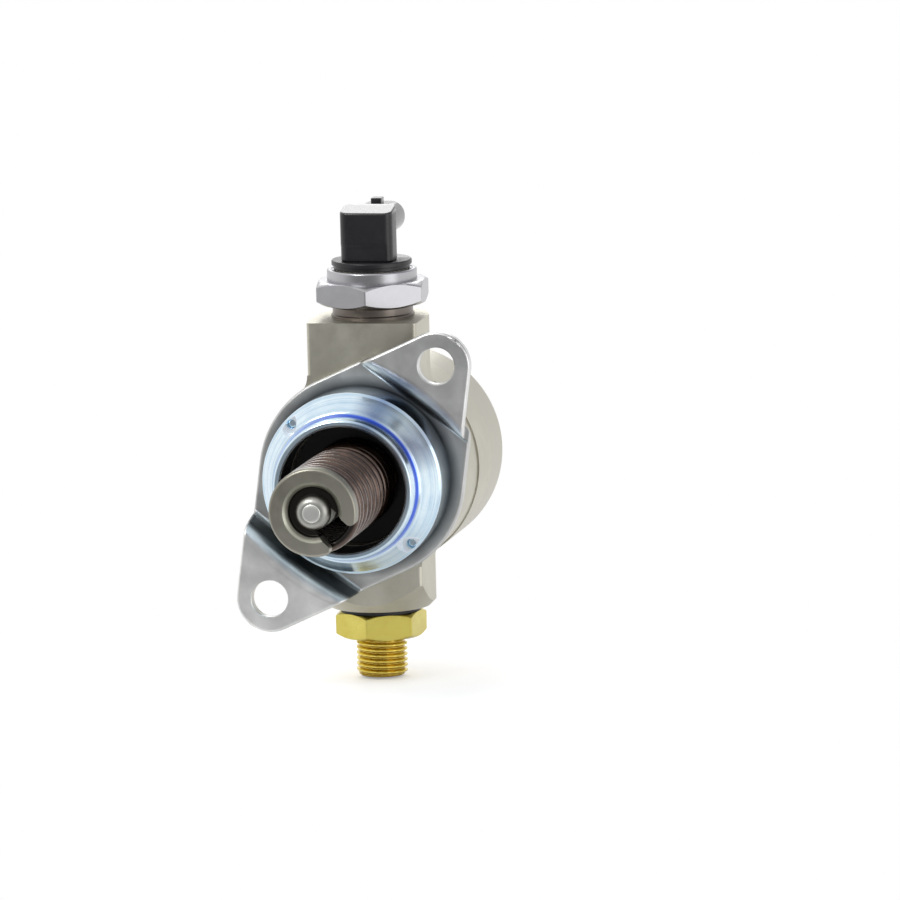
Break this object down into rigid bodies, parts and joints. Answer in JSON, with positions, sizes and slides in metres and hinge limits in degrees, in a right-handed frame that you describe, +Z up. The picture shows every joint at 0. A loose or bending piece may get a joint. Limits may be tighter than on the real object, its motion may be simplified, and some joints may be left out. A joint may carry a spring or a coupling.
{
  "type": "high pressure fuel pump",
  "caption": "Cam-driven high pressure fuel pump with a sprung plunger, joggled flange, solenoid valve, rear damper cap and threaded outlet.",
  "frame": {"origin": "on the plunger axis, in the plane of the front faces of the two flange ears", "axes": "-Y along the plunger towards the cam, +Y back through the body, +Z up along the valve axis to the electrical connector, +X to the right seen from the cam"},
  "size_m": [0.0666, 0.1364, 0.1307],
  "materials": {
    "nickel": "matte nickel plate on steel",
    "plate_steel": "satin pressed steel",
    "zinc": "bright blue zinc plate, turned",
    "retainer_steel": "grey-olive sintered steel",
    "hard_steel": "ground hardened steel",
    "spring_steel": "oiled brown spring steel",
    "dark_steel": "dark steel",
    "bright_steel": "bright turned steel",
    "rubber": "black rubber",
    "black_plastic": "black glass-filled plastic",
    "natural_plastic": "natural plastic",
    "copper": "enamelled copper",
    "tin": "tinned brass",
    "brass": "bright machined brass"
  },
  "bodies": {
    "housing": {"pump_body": "nickel", "flange_plate": "plate_steel", "pilot_ring": "zinc", "plunger_spring": "spring_steel", "plunger_sleeve": "hard_steel", "seal_carrier": "dark_steel", "plunger_seal": "rubber", "rear_cap": "nickel", "damper_capsules": "bright_steel", "damper_rings": "bright_steel", "inlet_stub": "bright_steel", "inlet_filter": "bright_steel", "solenoid_housing": "bright_steel", "solenoid_seal": "rubber", "solenoid_core": "dark_steel", "coil_bobbin": "natural_plastic", "coil_winding": "copper", "inlet_seat": "hard_steel", "return_spring": "spring_steel", "connector_housing": "black_plastic", "terminal_pins": "tin", "outlet_washer": "dark_steel", "outlet_fitting": "brass", "outlet_seat": "hard_steel", "outlet_spring": "spring_steel"},
    "plunger_group": {"plunger": "hard_steel", "spring_retainer": "retainer_steel"},
    "valve_group": {"armature": "dark_steel", "inlet_valve": "hard_steel"},
    "ball_group": {"outlet_ball": "hard_steel"}
  },
  "joints": [
    {"name": "plunger_slide", "type": "slide", "parent": "housing", "child": "plunger_group", "axis": [0, 1, 0], "range_m": [0, 0.004], "stiffness_N_per_m": 9000, "springref_m": -0.001, "deforming": ["plunger_spring"]},
    {"name": "inlet_valve_slide", "type": "slide", "parent": "housing", "child": "valve_group", "axis": [0, 0, 1], "range_m": [0, 0.0004], "stiffness_N_per_m": 2000, "springref_m": -0.0005, "deforming": ["return_spring"]},
    {"name": "outlet_ball_slide", "type": "slide", "parent": "housing", "child": "ball_group", "axis": [0, 0, -1], "range_m": [0, 0.0008], "stiffness_N_per_m": 500, "springref_m": -0.0005, "deforming": ["outlet_spring"]}
  ]
}
